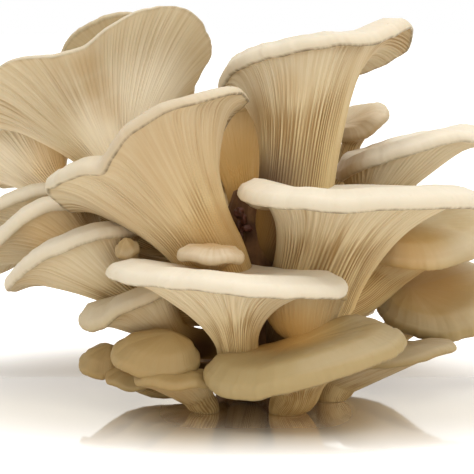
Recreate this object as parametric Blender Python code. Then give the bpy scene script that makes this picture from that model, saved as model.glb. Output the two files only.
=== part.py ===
"""Oyster mushroom cluster: overlapping shelf mushrooms that grow from one shared base.

Metres, +Z up, the front of the cluster towards -Y. The origin is the middle of the flat cut face
under the base, on which the cluster stands. Shapes below are given in millimetres, as measured on
a cluster about 200 mm wide, and turned into metres where the meshes are made.
"""

import math
from dataclasses import dataclass

import bpy
import bmesh
import numpy as np
from mathutils import Matrix, Vector

MM = 0.001

# The shared base, a lumpy stump: height of each section above the cut face, its radius and where
# its middle lies.
BASE_SECTIONS = (
    (0, 15, (0, 3)),
    (5, 17, (0, 4)),
    (18, 20, (0, 5)),
    (34, 19, (0, 6)),
    (50, 17, (0, 7)),
    (66, 14, (0, 8)),
    (80, 9, (0, 9)),
)
BASE_SIDES = 20
BASE_LUMPS = ((3, 0.07, 0.4), (5, 0.05, 1.9))

# Clearance between a stem and what it presses against.
CLEARANCE = 0.8
# Height of a gill above the underside, as a share of the cap's width and reach for each gill.
GILL_DEPTH = 0.16
TOP_ROWS = (0.93, 0.72, 0.4)

CREAM = (0.80, 0.70, 0.52, 1.0)
STUMP = (0.72, 0.60, 0.42, 1.0)


@dataclass
class Mushroom:
    """One fruit body, a funnel or shelf cap on a stem that leans out from the base."""

    name: str
    centre: tuple  # middle of the cap's margin
    size: tuple  # width and reach of the cap
    tilt: tuple  # roll lifts its right side, pitch its front edge, turn spins its outline
    neck: tuple  # where the stem begins to flare into the cap
    root: tuple  # foot of the stem
    waist: tuple = (7.0, 7.0)  # half widths of the stem at the neck
    foot: float = 6.0  # half width of the stem at its foot
    bell: tuple = (0.4, 0.4)  # left and right side: 0 is a cone, 1 a bell that turns out late, -1 a bowl
    cup: float = 5.0  # how far the middle of the cap lies below its margin
    rolled: float = 5.0  # how far the margin rolls down
    wall: float = 3.0  # thickness of the flesh at the margin
    ripple: tuple = (0.5, 5, 0.0)  # height, number and phase of the margin's waves
    pulls: tuple = ()  # (angle, spread, (x, y, z)) moves the margin there by that much
    gills: int = 12


CLUSTER = (
    Mushroom(
        "shelf_front", centre=(-10, -40, 52), size=(89, 52), tilt=(-3, 2, 0), neck=(-7, -35, 25),
        root=(-3, -12, 6), waist=(8, 8), foot=8, bell=(0.4, 1), cup=4, rolled=4, wall=4,
        pulls=(
            (180, 16, (-1.5, 0, 3)), (200, 16, (-2, 0, 3)), (220, 16, (-2, 0, 1.5)),
            (240, 16, (-1.5, 0, 1.5)), (260, 16, (-0.5, 0, 2.5)), (280, 16, (0, 0, 1)),
            (300, 16, (0.5, 0, 0.5)), (320, 16, (1, 0, 0.5)), (340, 16, (1, 0, 0.5)),
            (0, 16, (0, 0, 2)),
        ),
        gills=18,
    ),
    Mushroom(
        "shelf_right", centre=(42, -30, 82), size=(94, 58), tilt=(1, 3, 0), neck=(22, -14, 42),
        root=(8, -6, 10), waist=(18, 11), foot=9, bell=(0.9, 0.65), cup=5, rolled=5, wall=4,
        pulls=(
            (180, 16, (-1.5, 0, 5.5)), (200, 16, (-2.5, 0, 4)), (220, 16, (-2.5, 0, 2)),
            (240, 16, (-2, 0, 1.5)), (260, 16, (-2, 0, 1)), (280, 16, (-1.5, 0, 2)),
            (300, 16, (-1, 0, 1)), (320, 16, (-0.5, 0, 1)), (340, 16, (-0.5, 0, 1)),
        ),
        gills=18,
    ),
    Mushroom(
        "shelf_low", centre=(19, -48, 24), size=(78, 44), tilt=(13, -4, 0), neck=(16, -39, 10),
        root=(12, -34, 0), waist=(9, 8), foot=7, bell=(0.3, 0.3), cup=2, rolled=6, wall=4, gills=16, pulls=(
            (0, 19, (-1, 0, 1.5)), (24, 19, (-1, 0, 1)), (48, 19, (-1, 0, 6)),
            (72, 19, (-0.5, 0, 3)), (96, 19, (0.5, 0, -0.5)), (120, 19, (0, 0, 0.5)),
            (144, 19, (0, 0, 2)), (168, 19, (-1, 0, 3)), (192, 19, (-1.5, 0, 5)),
            (216, 19, (-3, 0, 1)), (240, 19, (-2.5, 0, -1.5)), (264, 19, (-2.5, 0, 0.5)),
            (288, 19, (-2, 0, 0.5)), (312, 19, (-1.5, 0, 0.5)), (336, 19, (-2, 0, 1)),
        ),
    ),
    Mushroom(
        "shelf_small", centre=(-17, -46, 62.5), size=(25, 14), tilt=(-3, -5, 0), neck=(-16, -42, 57),
        root=(-6, -14, 42), waist=(3.5, 3), foot=4, bell=(0.2, 0.2), cup=1, rolled=2, gills=8,
    ),
    Mushroom(
        "trumpet_left", centre=(-42, -18, 100), size=(84, 52), tilt=(29, 22, 0), neck=(-18, -29.6, 61),
        root=(-6, 0, 34), waist=(14, 9), foot=9, bell=(0.3, 0.8), cup=14, rolled=6, wall=3,
        pulls=(
            (180, 12, (-4, 0, 6.5)), (195, 12, (-2, 0, 6)), (210, 10, (-1, 0, 4.5)),
            (222, 9, (0.5, 0, 2.5)), (233, 9, (1, 0, 1.5)), (244, 9, (2.5, 0, -2)),
            (256, 10, (-0.5, 0, 0.5)), (270, 11, (-2.5, 0, 3)), (288, 14, (-3, 0, 4)),
            (306, 14, (-2, 0, 2.5)), (324, 14, (-2, 0, 2.5)), (342, 14, (-2.5, 0, 3.5)),
            (0, 14, (-2, 0, 4.5)), (18, 14, (1.5, 0, 3.5)), (38, 16, (-1.5, 0, 4.5)),
        ),
        gills=20,
    ),
    Mushroom(
        "trumpet_right", centre=(22, 8, 135.5), size=(86, 54), tilt=(14, 20, 0), neck=(16, -6, 84),
        root=(4, 4, 46), waist=(15, 11), foot=9, bell=(0.7, 0.95), cup=14, rolled=6, wall=3.5, gills=20,
        pulls=(
            (180, 16, (6, 0, 5.5)), (200, 16, (6.5, 0, 4.5)), (220, 16, (6, 0, 3)),
            (240, 16, (5.5, 0, 1.5)), (260, 16, (4, 0, 0.5)), (280, 16, (2.5, 0, 0)),
            (300, 16, (1.5, 0, -3.5)), (320, 16, (0, 0, -1)), (340, 16, (-1.5, 0, 2.5)),
            (0, 16, (-1.5, 0, 4)),
        ),
    ),
    Mushroom(
        "crown_left", centre=(-62, 28, 122), size=(98, 70), tilt=(20, 48, 0), neck=(-54, 18, 89),
        root=(-8, 6, 52), waist=(12, 9), foot=8, bell=(0.3, 0.3), cup=8, rolled=4, wall=2.2,
        pulls=(
            (30, 18, (-6.5, 0, 0.5)), (8, 18, (-2, 0, 0)), (346, 18, (0, 0, 1)),
            (324, 18, (2, 0, 5)), (302, 18, (0, 0, 3)), (284, 14, (0.5, 0, -1.5)),
            (270, 11, (1, 0, -4)), (256, 14, (0.5, 0, -4)), (238, 18, (-2.5, 0, 1.5)),
            (216, 18, (-5.5, 0, 2.5)), (194, 18, (-2, 0, 1)), (172, 18, (0.5, 0, 2)),
            (150, 18, (4, 0, 7.5)),
        ),
        gills=20,
    ),
    Mushroom(
        "crown_low", centre=(-98, 48, 96), size=(48, 42), tilt=(32, 42, 0), neck=(-84, 40, 78),
        root=(-9, 9, 44), waist=(8, 6), foot=6, bell=(0.3, 0.3), cup=6, rolled=4,
    ),
    Mushroom(
        "fan_left_low", centre=(-73, -14, 58), size=(62, 40), tilt=(27, 14, 0), neck=(-47, -14, 42),
        root=(-9, 0, 32), waist=(8, 7), bell=(0.3, 0.3), cup=5, rolled=6, pulls=(
            (120, 16, (0.5, 0, 1.5)), (140, 16, (0.5, 0, 3)), (160, 16, (0, 0, 2)),
            (180, 16, (0, 0, 3.5)), (200, 16, (0.5, 0, 3.5)), (220, 16, (0.5, 0, 3)),
            (240, 16, (0, 0, 3.5)), (260, 16, (-0.5, 0, 4)), (280, 16, (-0.5, 0, 3.5)),
            (300, 16, (0, 0, 2)),
        ),
    ),
    Mushroom(
        "fan_left_mid", centre=(-91, 8, 64), size=(64, 42), tilt=(30, 14, 0), neck=(-62, 5, 55),
        root=(-9, 5, 42), waist=(7, 6), bell=(0.3, 0.3), cup=5, rolled=6, pulls=(
            (200, 16, (0.5, 0, 1.5)), (220, 16, (1.5, 0, 4)), (240, 16, (2, 0, 3)),
            (260, 16, (1.5, 0, 5.5)), (280, 16, (1.5, 0, 6.5)), (300, 16, (4, 0, 3)),
            (320, 16, (0.5, 0, 0)),
        ),
    ),
    Mushroom(
        "fan_left_high", centre=(-99, 28, 69), size=(56, 38), tilt=(20, 12, 0), neck=(-74, 23, 57),
        root=(-9, 8, 50), waist=(6, 6), foot=5, bell=(0.3, 0.3), cup=5, rolled=5, pulls=(
            (200, 16, (0.5, 0, 0.5)), (220, 16, (4.5, 0, 4)), (240, 16, (4, 0, 5)),
            (260, 16, (2.5, 0, 6)), (280, 16, (2, 0, 5.5)), (300, 16, (1.5, 0, 4.5)),
            (320, 16, (0, 0, 0.5)),
        ),
    ),
    Mushroom(
        "shell_left", centre=(-50, -27, 41), size=(40, 30), tilt=(20, 6, 0), neck=(-31, -20, 27),
        root=(-9, -2, 19), waist=(6, 6), bell=(0.2, 0.2), cup=1, rolled=5, pulls=(
            (160, 16, (-0.5, 0, 0.5)), (180, 16, (-0.5, 0, 2)), (200, 16, (-0.5, 0, 1.5)),
            (220, 16, (0, 0, -1)), (240, 16, (1, 0, -1)), (260, 16, (0.5, 0, 2.5)),
            (280, 16, (2, 0, 2.5)), (300, 16, (4, 0, 3.5)), (320, 16, (1.5, 0, 1.5)),
        ),
    ),
    Mushroom(
        "button_left", centre=(-38, -40, 24), size=(34, 24), tilt=(-6, -26, 0), neck=(-33, -31, 16),
        root=(-10, -6, 8), waist=(5, 5), foot=5, bell=(0.2, 0.2), cup=-3, rolled=4, gills=8,
    ),
    Mushroom(
        "button_far_left", centre=(-60, -22, 17), size=(18, 16), tilt=(5, -30, 0), neck=(-55, -15, 11),
        root=(-12, 0, 9), waist=(3.5, 3.5), foot=4, bell=(0.2, 0.2), cup=-2, rolled=2.5, gills=8,
    ),
    Mushroom(
        "button_low_left", centre=(-48, -30, 12), size=(20, 14), tilt=(-5, -20, 0), neck=(-44, -24, 7),
        root=(-12, -8, 5), waist=(2.5, 2.5), foot=3, bell=(0.1, 0.1), cup=-1, rolled=1.5, wall=2.5, gills=8,
    ),
    Mushroom(
        "foot_left", centre=(-31, -44, 15), size=(30, 20), tilt=(-2, 0, 0), neck=(-22, -36, 6),
        root=(-19, -33, 0), waist=(6, 5), foot=5, bell=(0, 0), cup=1, rolled=2, gills=8,
    ),
    Mushroom(
        "bud_left", centre=(-49, -30, 62), size=(9, 9), tilt=(12, -35, 0), neck=(-47.5, -26, 58),
        root=(-44, -12, 50), waist=(2.5, 2.5), foot=3, bell=(0.1, 0.1), cup=-2, rolled=1, wall=2.5, gills=8,
    ),
    Mushroom(
        "trumpet_behind", centre=(-9, 32, 110), size=(40, 34), tilt=(10, 20, 0), neck=(-4, 22, 76),
        root=(0, 10, 54), waist=(7, 6), bell=(0.4, 0.4), cup=8, rolled=4,
    ),
    Mushroom(
        "crown_behind", centre=(-62, 60, 136), size=(46, 36), tilt=(25, 55, 0), neck=(-46, 54, 111),
        root=(-9, 14, 56), waist=(6, 5), foot=5, bell=(0.4, 0.4), cup=5, rolled=3, gills=8,
    ),
    Mushroom(
        "petal_right", centre=(44, 40, 107), size=(26, 20), tilt=(25, -30, 0), neck=(41, 43, 96),
        root=(10, 15, 48), waist=(4, 4), foot=4, bell=(0.2, 0.2), cup=2, rolled=3, gills=8,
    ),
    Mushroom(
        "fan_right_high", centre=(65, 22, 98), size=(66, 40), tilt=(14, -2, 0), neck=(46, 19, 70),
        root=(9, 5, 50), waist=(8, 7), bell=(0.4, 0.4), cup=5, rolled=5, pulls=(
            (180, 16, (-0.5, 0, -1.5)), (200, 16, (-0.5, 0, -1)), (220, 16, (-1, 0, 0.5)),
            (240, 16, (-0.5, 0, 1.5)), (260, 16, (-0.5, 0, 3)), (280, 16, (0, 0, 3.5)),
            (300, 16, (0.5, 0, 3)), (320, 16, (1.5, 0, 0)), (340, 16, (1, 0, -1)),
        ),
    ),
    Mushroom(
        "fan_right_mid", centre=(69, 3, 66), size=(58, 42), tilt=(6, -26, 0), neck=(50, 8, 43),
        root=(9, 0, 24), waist=(8, 7), bell=(0.3, 0.3), cup=0, rolled=6, wall=4,
    ),
    Mushroom(
        "fan_right_low", centre=(77, 14, 38), size=(54, 46), tilt=(4, -34, 0), neck=(60, 21, 21),
        root=(12, 7, 8), waist=(6, 5), bell=(0.3, 0.3), cup=0, rolled=6, wall=4,
    ),
    Mushroom(
        "foot_right", centre=(56, -11, 18), size=(48, 26), tilt=(9, 4, 0), neck=(32, -13, 6),
        root=(30, -13, 0), waist=(8, 6), bell=(0, 0), cup=2, rolled=2, foot=6.5, pulls=(
            (200, 16, (-1, 0, 0)), (220, 16, (-3.5, 0, -1)), (240, 16, (-2.5, 0, -1)),
            (260, 16, (-2, 0, -1)), (280, 16, (-1.5, 0, -1.5)), (300, 16, (-0.5, 0, -1.5)),
            (320, 16, (-0.5, 0, -0.5)), (340, 16, (-0.5, 0, 0)), (0, 16, (0.5, 0, -0.5)),
        ),
    ),
    Mushroom(
        "shell_middle", centre=(17, -31, 47), size=(36, 28), tilt=(-5, 20, 0), neck=(20, -24, 26),
        root=(12, -10, 6), waist=(5.5, 4.5), bell=(-0.6, -0.6), cup=3, rolled=3, foot=6,
    ),
    Mushroom(
        "back_low", centre=(25, 52, 32), size=(58, 44), tilt=(-5, -12, 0), neck=(24, 46, 15),
        root=(5, 14, 10), waist=(5.5, 4.5), bell=(0.3, 0.3), cup=3, rolled=5,
    ),
    Mushroom(
        "back_left", centre=(-40, 58, 60), size=(60, 44), tilt=(12, -15, 0), neck=(-30, 46, 41),
        root=(-7, 14, 28), waist=(7, 6), bell=(0.3, 0.3), cup=5, rolled=5,
    ),
    Mushroom(
        "back_right", centre=(40, 54, 70), size=(60, 44), tilt=(-8, -15, 0), neck=(30, 44, 49),
        root=(6, 13, 34), waist=(7, 6), bell=(0.3, 0.3), cup=5, rolled=5,
    ),
    Mushroom(
        "back_high", centre=(-8, 66, 96), size=(60, 42), tilt=(5, -20, 0), neck=(-5, 55, 71),
        root=(0, 14, 50), waist=(7, 6), bell=(0.35, 0.35), cup=6, rolled=5,
    ),
    Mushroom(
        "back_low_left", centre=(-38, 30, 28), size=(38, 32), tilt=(8, -10, 0), neck=(-29, 24, 17),
        root=(-9, 9, 9), waist=(4.5, 4.5), foot=5, bell=(0.2, 0.2), cup=2, rolled=4,
    ),
)


def cap_axes(tilt):
    """Right, back and upward directions of a cap."""
    roll, pitch, turn = (math.radians(angle) for angle in tilt)
    turned = Matrix.Rotation(-roll, 3, "Y") @ Matrix.Rotation(-pitch, 3, "X") @ Matrix.Rotation(turn, 3, "Z")
    return [np.array(turned.col[i]) for i in range(3)]


def around(values):
    """A value for each angle as a column, to multiply directions by."""
    return np.asarray(values)[:, None]


def margin(m, angles):
    """The cap's margin before and after its waves and pulls."""
    right, back, up = cap_axes(m.tilt)
    flat = (
        np.array(m.centre)
        + around(np.cos(angles) * m.size[0] / 2) * right
        + around(np.sin(angles) * m.size[1] / 2) * back
    )
    height, count, phase = m.ripple
    moved = around(height * np.sin(count * angles + phase)) * up
    for at, spread, by in m.pulls:
        apart = (np.degrees(angles) - at + 180) % 360 - 180
        moved = moved + around(np.exp(-((apart / spread) ** 2))) * np.array(by, float)
    return flat, moved


def unit(vector):
    return vector / np.linalg.norm(vector)


def hub_point(m):
    """The deepest point of the cap's hollow, drawn from its middle towards the neck."""
    right, back, _ = cap_axes(m.tilt)
    apart = np.array(m.neck) - np.array(m.centre)
    aside = np.array([apart @ right / (m.size[0] / 2), apart @ back / (m.size[1] / 2)])
    aside *= min(1.0, 0.5 / max(np.linalg.norm(aside), 0.01))
    return np.array(m.centre) + right * aside[0] * m.size[0] / 2 + back * aside[1] * m.size[1] / 2


def neck_axis(m):
    """The stem's direction at the neck, between its own way there and the cap's way out."""
    _, _, up = cap_axes(m.tilt)
    outward = unit(unit(np.array(m.centre) - np.array(m.neck)) + up)
    return unit(unit(np.array(m.neck) - np.array(m.root)) + outward)


def neck_frame(m):
    right, _, _ = cap_axes(m.tilt)
    axis = neck_axis(m)
    right = unit(right - (right @ axis) * axis)
    return right, np.cross(axis, right), axis


def oval(angles, wide, deep, right, back):
    return around(np.cos(angles) * wide) * right + around(np.sin(angles) * deep) * back


def roll_down(m, share):
    """How far the rolled margin lies below the rest of the cap."""
    start = 0.78
    along = np.clip((share - start) / (1 - start), 0, 1)
    return m.rolled * along**2


def under_ring(m, angles, step):
    """A ring of the gilled underside: step runs from 0 at the neck to 1 at the margin."""
    right, back, axis = neck_frame(m)
    _, _, up = cap_axes(m.tilt)
    inner = np.array(m.neck) + oval(angles, m.waist[0], m.waist[1], right, back)
    flat, moved = margin(m, angles)
    outer = flat + moved
    rise = around((outer - inner) @ axis) * axis
    bell = around(np.interp(np.cos(angles), (-1, 1), m.bell))
    bend = inner + np.maximum(bell, 0) * rise + np.maximum(-bell, 0) * (outer - inner - rise)
    curve = (1 - step) ** 2 * inner + 2 * step * (1 - step) * bend + step**2 * outer
    return curve - around(np.broadcast_to(roll_down(m, step), angles.shape)) * up


def top_ring(m, angles, share):
    """A ring of the cap's skin, from share 1 at the margin inwards."""
    _, _, up = cap_axes(m.tilt)
    flat, moved = margin(m, angles)
    hub = hub_point(m)
    flesh = m.wall * (1 + 0.5 * (1 - share))
    height = flesh - m.cup * (1 - share) ** 1.5 - roll_down(m, share)
    return hub + share * (flat - hub) + share**1.5 * moved + height * up


def stem_rings(m, angles, count):
    """Rings of the stem from its foot to just below the neck, across its bent axis.

    A foot that stands on the floor lies flat on it.
    """
    right, back, axis = (Vector(direction) for direction in neck_frame(m))
    neck, root = np.array(m.neck), np.array(m.root)
    reach = 0.35 * np.linalg.norm(neck - root)
    leaving = np.array([0, 0, 1.0]) if root[2] == 0 else unit(neck - root)
    points = root, root + reach * leaving, neck - reach * np.array(axis), neck
    rings = []
    for t in np.linspace(0, 1, count, endpoint=False):
        weights = (1 - t) ** 3, 3 * t * (1 - t) ** 2, 3 * t * t * (1 - t), t**3
        middle = sum(weight * point for weight, point in zip(weights, points))
        slopes = (1 - t) ** 2, 2 * t * (1 - t), t * t
        along = sum(slope * (after - before) for slope, before, after in zip(slopes, points, points[1:]))
        swing = axis.rotation_difference(Vector(along))
        wide, deep = ((1 - t) * m.foot + t * waist for waist in m.waist)
        rings.append(middle + oval(angles, wide, deep, np.array(swing @ right), np.array(swing @ back)))
    return rings


def gill_strength(stem_rows, flare_rows):
    """How strongly the gills stand out on each ring: faint on the stem, none at the margin."""
    stem = [0.5 * i / stem_rows for i in range(stem_rows)]
    flare = [min(1.0, 0.5 + 2 * step) * (1 - step**6) for step in np.linspace(0, 1, flare_rows)]
    return stem + flare


def ridged(rings, angles, gills, depths):
    """The rings with gills raised from the surface, a crest and a valley for each."""
    raised = []
    last = len(rings) - 1
    for i, ring in enumerate(rings):
        before, after = rings[max(i - 1, 0)], rings[min(i + 1, last)]
        along = after - before
        across = np.roll(ring, -1, axis=0) - np.roll(ring, 1, axis=0)
        out = np.cross(across, along)
        out /= around(np.linalg.norm(out, axis=1))
        raised.append(ring + around(depths[i] * np.cos(gills * angles)) * out)
    return raised


def loft(name, rings, middle, tip, grow=0.0):
    """A closed mesh through rings of points, some with half as many, with a point at each end."""
    mesh = bpy.data.meshes.new(name)
    form = bmesh.new()
    loops = [[form.verts.new(point * MM) for point in ring] for ring in rings]
    for lower, upper in zip(loops, loops[1:]):
        count, step = len(upper), len(lower) // len(upper)
        for i in range(count):
            here, after = upper[i], upper[(i + 1) % count]
            fine = [lower[(i * step + k) % len(lower)] for k in range(step + 1)]
            if step == 1:
                form.faces.new((fine[0], fine[1], after))
                form.faces.new((fine[0], after, here))
            else:
                form.faces.new((fine[0], fine[1], here))
                form.faces.new((here, fine[1], after))
                form.faces.new((fine[1], fine[2], after))
    for ring, point, turned in ((loops[0], middle, True), (loops[-1], tip, False)):
        end = form.verts.new(point * MM)
        for i, vert in enumerate(ring):
            after = ring[(i + 1) % len(ring)]
            form.faces.new((after, vert, end) if turned else (vert, after, end))
    form.normal_update()
    for vert, normal in [(vert, vert.normal.copy()) for vert in form.verts]:
        vert.co += normal * grow * MM
    form.to_mesh(mesh)
    form.free()
    mesh.shade_smooth()
    return mesh


def mushroom_mesh(m, grow=0.0):
    """One fruit body; grown by a clearance when it trims its neighbours."""
    sides = 2 * m.gills
    stem_rows, flare_rows = (3, 5) if m.gills > 10 else (2, 4)
    angles = np.arange(sides) * 2 * math.pi / sides
    under = stem_rings(m, angles, stem_rows)
    under += [under_ring(m, angles, step) for step in np.linspace(0, 1, flare_rows)]
    depth = GILL_DEPTH * sum(m.size) / m.gills
    depths = [depth * strength for strength in gill_strength(stem_rows, flare_rows)]
    under = ridged(under, angles, m.gills, depths)
    for i, ring in enumerate(under):
        ring[:, 2] = np.maximum(ring[:, 2], 0.4 * i)
    coarse = angles[::2]
    rings = under + [top_ring(m, coarse, share) for share in TOP_ROWS]
    _, _, up = cap_axes(m.tilt)
    tip = hub_point(m) + (m.wall * 1.5 - m.cup) * up
    return loft(m.name, rings, under[0].mean(axis=0), tip, grow)


def base_mesh(grow=0.0):
    angles = np.arange(BASE_SIDES) * 2 * math.pi / BASE_SIDES
    rings = []
    for height, radius, (x, y) in BASE_SECTIONS:
        swell = 1 + sum(size * np.sin(count * angles + phase) for count, size, phase in BASE_LUMPS)
        rings.append(
            np.stack(
                (x + radius * swell * np.cos(angles), y + radius * swell * np.sin(angles), angles * 0 + height),
                axis=1,
            )
        )
    foot = rings[0].mean(axis=0)
    top = rings[-1].mean(axis=0) + np.array([0, 0, 4])
    return loft("cluster_base", rings, foot, top, grow)


def plain_material(name, colour, roughness):
    material = bpy.data.materials.new(name)
    material.use_nodes = True
    shader = material.node_tree.nodes["Principled BSDF"]
    shader.inputs["Base Color"].default_value = colour
    shader.inputs["Roughness"].default_value = roughness
    return material


def add(name, mesh, material, collection):
    piece = bpy.data.objects.new(name, mesh)
    mesh.materials.append(material)
    collection.objects.link(piece)
    return piece


def corners(mesh):
    points = np.array([tuple(vert.co) for vert in mesh.vertices])
    return points.min(axis=0), points.max(axis=0)


def meet(one, other):
    """Whether the bounding boxes of two meshes overlap."""
    (low, high), (other_low, other_high) = corners(one), corners(other)
    return bool(np.all(low <= other_high) and np.all(other_low <= high))


def largest_part(mesh):
    """Keep the largest connected part of a trimmed mesh; the scraps beyond a cut are dropped."""
    form = bmesh.new()
    form.from_mesh(mesh)
    bmesh.ops.remove_doubles(form, verts=form.verts, dist=0.01 * MM)
    seen, parts = set(), []
    for start in form.faces:
        if start in seen:
            continue
        part, next_faces = {start}, [start]
        while next_faces:
            for edge in next_faces.pop().edges:
                for face in edge.link_faces:
                    if face not in part:
                        part.add(face)
                        next_faces.append(face)
        seen |= part
        parts.append(part)
    kept = max(parts, key=len)
    bmesh.ops.delete(form, geom=[face for face in form.faces if face not in kept], context="FACES")
    bmesh.ops.triangulate(form, faces=form.faces)
    form.to_mesh(mesh)
    form.free()


def with_modifiers(piece):
    """The mesh that a piece's modifiers make, which are then done."""
    bpy.context.view_layer.update()
    graph = bpy.context.evaluated_depsgraph_get()
    mesh = bpy.data.meshes.new_from_object(piece.evaluated_get(graph))
    piece.modifiers.clear()
    return mesh


def trimmed(piece, cutters):
    """Cut the grown neighbours out of a piece, so that it stops a clearance short of them."""
    faces = len(piece.data.polygons)
    for cutter in cutters:
        cut = piece.modifiers.new("trim_" + cutter.name, "BOOLEAN")
        cut.operation = "DIFFERENCE"
        cut.solver = "EXACT"
        cut.use_self = True
        cut.object = cutter
    piece.data = with_modifiers(piece)
    largest_part(piece.data)
    if len(piece.data.polygons) > faces:
        slim = piece.modifiers.new("slim", "DECIMATE")
        slim.ratio = faces / len(piece.data.polygons)
        slim.use_collapse_triangulate = True
        piece.data = with_modifiers(piece)
    piece.data.shade_smooth()


def build():
    for old in list(bpy.data.objects):
        bpy.data.objects.remove(old)
    collection = bpy.data.collections.new("oyster_mushroom_cluster")
    bpy.context.scene.collection.children.link(collection)
    cream = plain_material("mushroom_flesh", CREAM, 0.6)
    stump = plain_material("base_flesh", STUMP, 0.8)
    add("cluster_base", base_mesh(), stump, collection)
    cutters = [add("grown_base", base_mesh(CLEARANCE), stump, collection)]
    for m in CLUSTER:
        piece = add(m.name, mushroom_mesh(m), cream, collection)
        trimmed(piece, [cutter for cutter in cutters if meet(piece.data, cutter.data)])
        cutters.append(add("grown_" + m.name, mushroom_mesh(m, CLEARANCE), cream, collection))
    for cutter in cutters:
        bpy.data.objects.remove(cutter)


build()
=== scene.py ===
"""Looks of the oyster mushroom cluster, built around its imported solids.

Each mushroom is drawn again from the same measurements as its solid, with thin gills that run down
onto its stem, a rounded margin and a cap skin. Shapes are given in millimetres and turned into
metres where the meshes are made. The front of the cluster is towards -Y.
"""

import math
from dataclasses import dataclass
from functools import reduce

import bmesh
import bpy
import numpy as np
from bpy.props import FloatProperty, FloatVectorProperty, IntProperty, PointerProperty
from mathutils import Matrix, Vector


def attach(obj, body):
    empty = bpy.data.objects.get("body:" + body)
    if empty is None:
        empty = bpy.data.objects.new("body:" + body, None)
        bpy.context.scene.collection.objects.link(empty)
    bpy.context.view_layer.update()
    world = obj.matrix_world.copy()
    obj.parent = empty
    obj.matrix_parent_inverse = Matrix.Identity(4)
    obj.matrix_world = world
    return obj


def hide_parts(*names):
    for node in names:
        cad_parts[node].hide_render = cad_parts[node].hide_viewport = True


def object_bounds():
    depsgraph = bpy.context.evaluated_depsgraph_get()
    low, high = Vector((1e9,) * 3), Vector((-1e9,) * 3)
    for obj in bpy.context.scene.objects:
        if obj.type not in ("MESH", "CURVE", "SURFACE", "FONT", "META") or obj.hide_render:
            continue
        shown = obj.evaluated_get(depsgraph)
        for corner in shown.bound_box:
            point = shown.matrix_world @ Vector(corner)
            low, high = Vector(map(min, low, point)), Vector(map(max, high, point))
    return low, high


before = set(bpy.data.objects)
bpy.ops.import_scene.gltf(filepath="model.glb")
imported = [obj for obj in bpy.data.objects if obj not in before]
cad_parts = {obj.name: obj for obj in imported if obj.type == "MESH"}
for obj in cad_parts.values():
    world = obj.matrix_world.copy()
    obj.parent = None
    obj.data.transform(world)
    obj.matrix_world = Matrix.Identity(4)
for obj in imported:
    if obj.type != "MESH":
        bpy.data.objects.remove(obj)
SOLID_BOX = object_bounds()

bl_info = {
    "name": "Oyster mushroom cluster",
    "version": (1, 0, 0),
    "blender": (4, 5, 0),
    "location": "3D View > Sidebar > Mushrooms",
    "description": "Gilled mushrooms, their shared base and a studio floor",
    "category": "Add Mesh",
}

MM = 0.001
FULL_TURN = 2 * math.pi

# How steeply the camera looks down, what it aims at in metres, its lens and sensor in millimetres.
CAMERA_RISE = math.radians(8)
CAMERA_AIM = (-0.0072, 0, 0.063)
CAMERA_LENS = 123.42
CAMERA_SENSOR = 36

# Height of the floor, which lies just clear of the cut face, in metres.
FLOOR_HEIGHT = -0.0002

# Soft square lamps: name, place in metres, watts and width in metres.
LAMPS = (
    ("top_light", (0.15, -0.05, 1.1), 7.0, 0.8),
    ("side_light", (0.7, -0.9, 0.7), 3.0, 0.6),
    ("fill_light", (-0.8, -0.7, 0.25), 1.0, 0.8),
)
LAMPS_AIM = (0, 0, 0.06)

# The shared base, a lumpy stump: height of each section above the cut face, its radius and where
# its middle lies.
BASE_SECTIONS = (
    (0, 15, (0, 3)),
    (5, 17, (0, 4)),
    (18, 20, (0, 5)),
    (34, 19, (0, 6)),
    (50, 17, (0, 7)),
    (66, 14, (0, 8)),
    (80, 9, (0, 9)),
)
# Points round the base and rings up it.
BASE_FINE = (160, 60)
# Lumps round the base: how many, how high as a share of its radius, and their phase.
BASE_LUMPS = ((3, 0.07, 0.4), (5, 0.05, 1.9))


@dataclass
class Mushroom:
    """One fruit body, a funnel or shelf cap on a stem that leans out from the base."""

    name: str
    centre: tuple  # middle of the cap's margin
    size: tuple  # width and reach of the cap
    tilt: tuple  # roll lifts its right side, pitch its front edge, turn spins its outline
    neck: tuple  # where the stem begins to flare into the cap
    root: tuple  # foot of the stem
    waist: tuple = (7.0, 7.0)  # half widths of the stem at the neck
    foot: float = 6.0  # half width of the stem at its foot
    bell: tuple = (0.3, 0.3)  # left and right side: 0 is a cone, 1 a bell that turns out late, -1 a bowl
    cup: float = 5.0  # how far the middle of the cap lies below its margin
    rolled: float = 5.0  # how far the margin rolls down
    wall: float = 3.0  # thickness of the flesh at the margin
    ripple: tuple = (0.5, 5, 0.0)  # height, number and phase of the margin's waves
    pulls: tuple = ()  # (angle, spread, x, z) moves the margin there to the right and up by that much
    gills: int = 12  # gills of its solid, which also set how finely it is drawn here
    # tan is partly the skin's own tone and partly painted shade on caps that lie in shadow.
    tan: float = 0.25  # how tan its skin is, from 0 for cream to 1
    ridges: float = 1.0  # how strongly its gills stand out
    line: float = 0.3  # how dark its margin line is


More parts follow.
